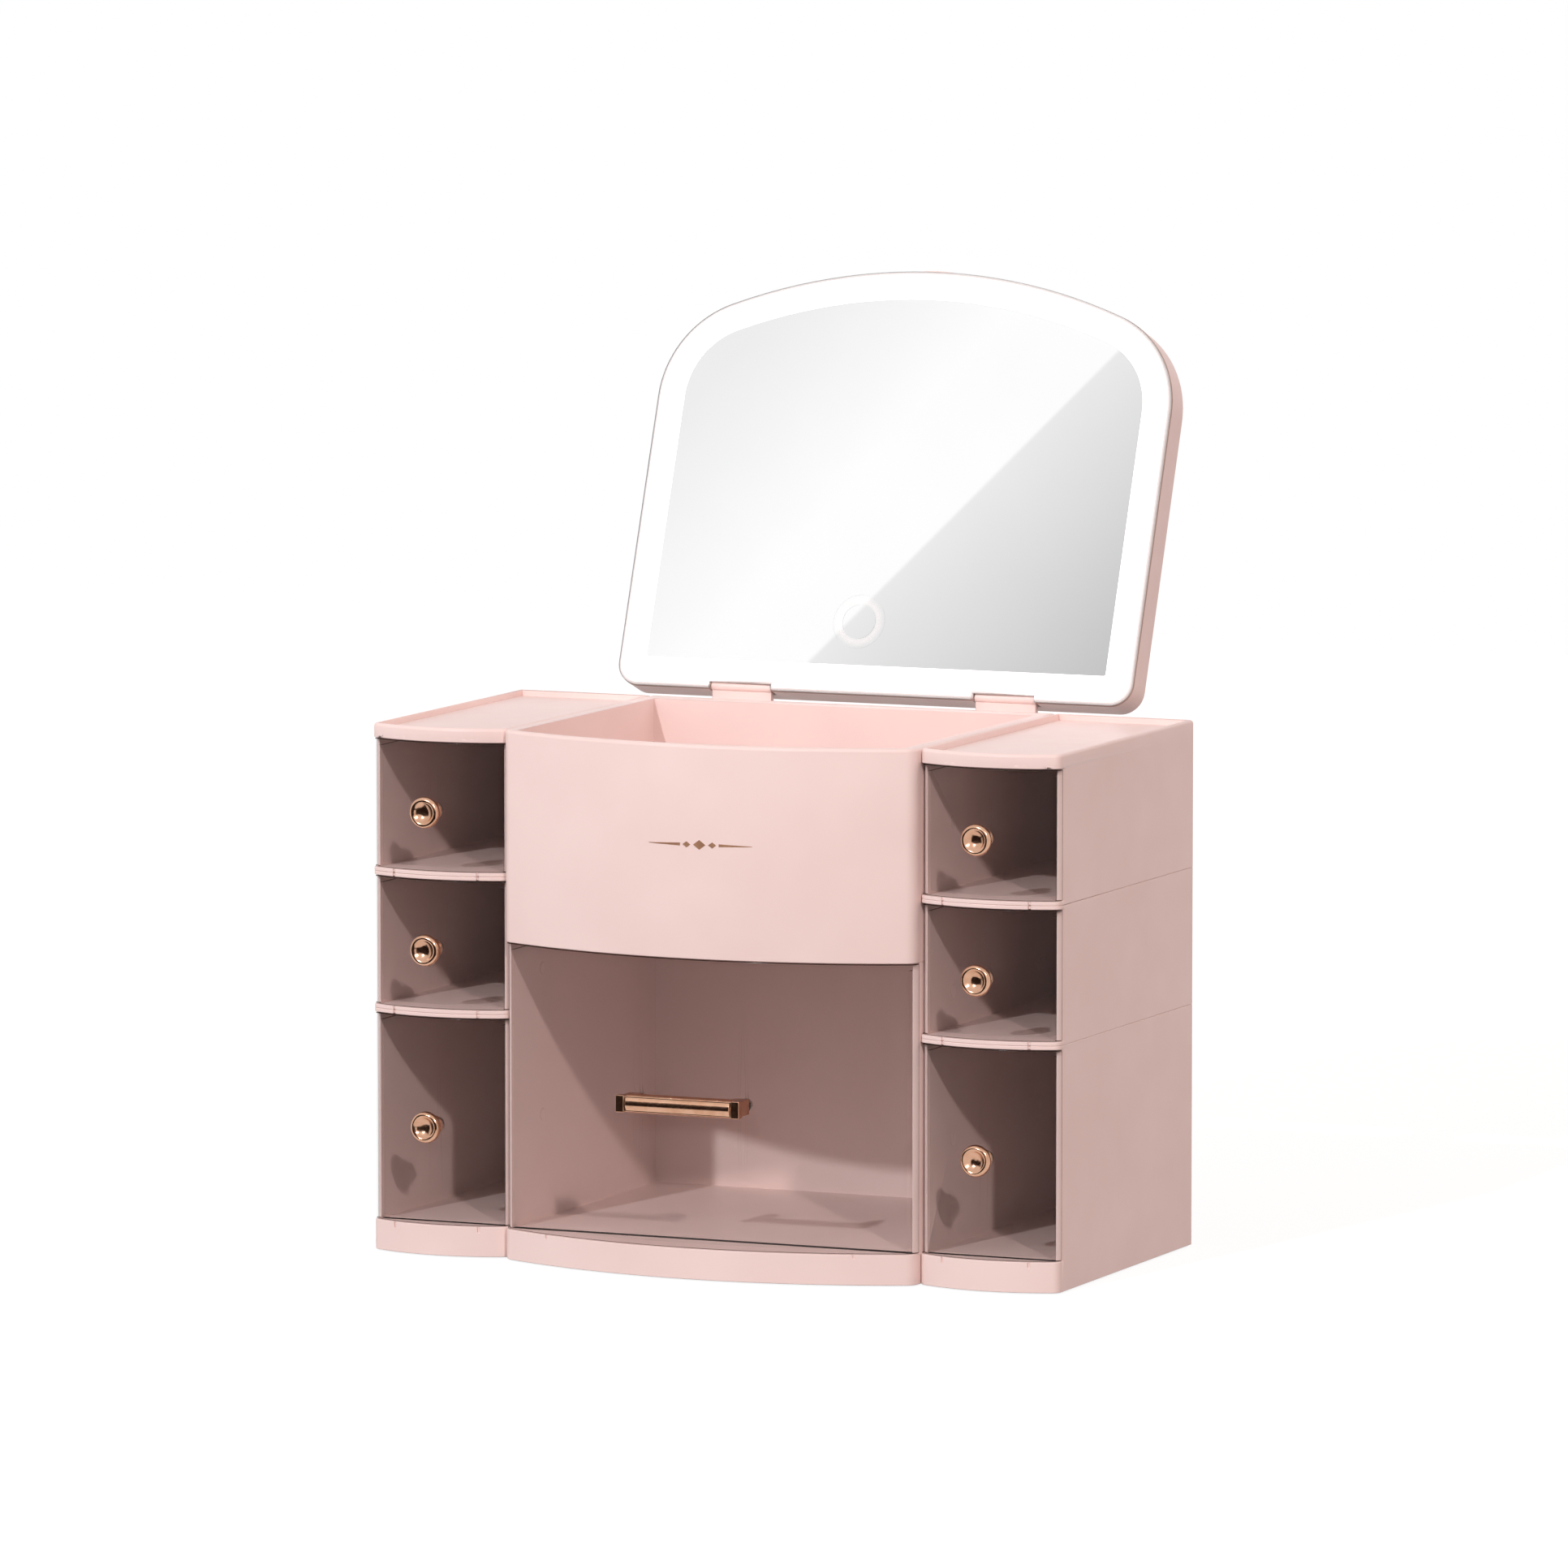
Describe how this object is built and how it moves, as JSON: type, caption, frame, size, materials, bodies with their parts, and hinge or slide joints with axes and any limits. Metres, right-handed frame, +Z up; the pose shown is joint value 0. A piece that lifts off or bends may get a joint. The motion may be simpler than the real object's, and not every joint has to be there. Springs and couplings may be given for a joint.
{
  "type": "vanity box with mirror",
  "caption": "Dressing-table organiser of moulded plastic: tinted pull-out drawers with metal knobs, an open bin, and an arched lighted mirror hinged on the back.",
  "frame": {"origin": "on the surface that the feet stand on, under the middle foot: half way across the width and half way along the towers' sides", "axes": "+X to the object's right side as seen from the front, +Y to the back, +Z up; the drawers pull out along -Y"},
  "size_m": [0.38, 0.3292, 0.4917],
  "materials": {
    "pink_plastic": "satin moulded",
    "smoked_plastic": "clear brown tint",
    "rose_gold": "polished plating",
    "screw_steel": "zinc plated",
    "foot_rubber": "matte",
    "silvered_glass": "silvered",
    "frosted_plastic": "frosted, lit from behind",
    "white_print": "white print",
    "white_plastic": "moulded",
    "board_white": "solder mask",
    "chip_yellow": "phosphor",
    "battery_film": "shrink film",
    "board_green": "solder mask",
    "sensor_copper": "copper foil"
  },
  "bodies": {
    "cabinet": {"left_tier_low": "pink_plastic", "left_tier_mid": "pink_plastic", "left_tier_top": "pink_plastic", "right_tier_low": "pink_plastic", "right_tier_mid": "pink_plastic", "right_tier_top": "pink_plastic", "middle_carcass": "pink_plastic", "top_bin": "pink_plastic", "side_rivets": "pink_plastic", "tier_rivets": "pink_plastic", "foot_pads": "foot_rubber", "hinge_bracket_left": "pink_plastic", "hinge_bracket_right": "pink_plastic", "hinge_screws": "screw_steel"},
    "left_low": {"left_drawer_low": "smoked_plastic", "left_knob_low": "rose_gold", "left_screw_low": "screw_steel"},
    "left_mid": {"left_drawer_mid": "smoked_plastic", "left_knob_mid": "rose_gold", "left_screw_mid": "screw_steel"},
    "left_top": {"left_drawer_top": "smoked_plastic", "left_knob_top": "rose_gold", "left_screw_top": "screw_steel"},
    "right_low": {"right_drawer_low": "smoked_plastic", "right_knob_low": "rose_gold", "right_screw_low": "screw_steel"},
    "right_mid": {"right_drawer_mid": "smoked_plastic", "right_knob_mid": "rose_gold", "right_screw_mid": "screw_steel"},
    "right_top": {"right_drawer_top": "smoked_plastic", "right_knob_top": "rose_gold", "right_screw_top": "screw_steel"},
    "middle": {"middle_drawer": "smoked_plastic", "bar_handle": "rose_gold", "handle_screws": "screw_steel"},
    "mirror": {"mirror_shell": "pink_plastic", "mirror_carrier": "white_plastic", "mirror_glass": "silvered_glass", "light_diffuser": "frosted_plastic", "led_board": "board_white", "led_chips": "chip_yellow", "battery_pack": "battery_film", "control_board": "board_green", "touch_ring": "white_print", "touch_sensor": "sensor_copper", "charging_socket": "screw_steel", "pull_tab": "pink_plastic", "mirror_screws": "screw_steel", "hinge_pins": "screw_steel"}
  },
  "joints": [
    {"name": "mirror_tilt", "type": "hinge", "parent": "cabinet", "child": "mirror", "pos_m": [0.007, 0.1016, 0.2775], "axis": [1, 0, 0], "range_deg": [-10, 110.4]},
    {"name": "left_low_slide", "type": "slide", "parent": "cabinet", "child": "left_low", "axis": [0, -1, 0], "range_m": [0, 0.12]},
    {"name": "left_mid_slide", "type": "slide", "parent": "cabinet", "child": "left_mid", "axis": [0, -1, 0], "range_m": [0, 0.12]},
    {"name": "left_top_slide", "type": "slide", "parent": "cabinet", "child": "left_top", "axis": [0, -1, 0], "range_m": [0, 0.12]},
    {"name": "right_low_slide", "type": "slide", "parent": "cabinet", "child": "right_low", "axis": [0, -1, 0], "range_m": [0, 0.12]},
    {"name": "right_mid_slide", "type": "slide", "parent": "cabinet", "child": "right_mid", "axis": [0, -1, 0], "range_m": [0, 0.12]},
    {"name": "right_top_slide", "type": "slide", "parent": "cabinet", "child": "right_top", "axis": [0, -1, 0], "range_m": [0, 0.12]},
    {"name": "middle_slide", "type": "slide", "parent": "cabinet", "child": "middle", "axis": [0, -1, 0], "range_m": [0, 0.12]}
  ]
}
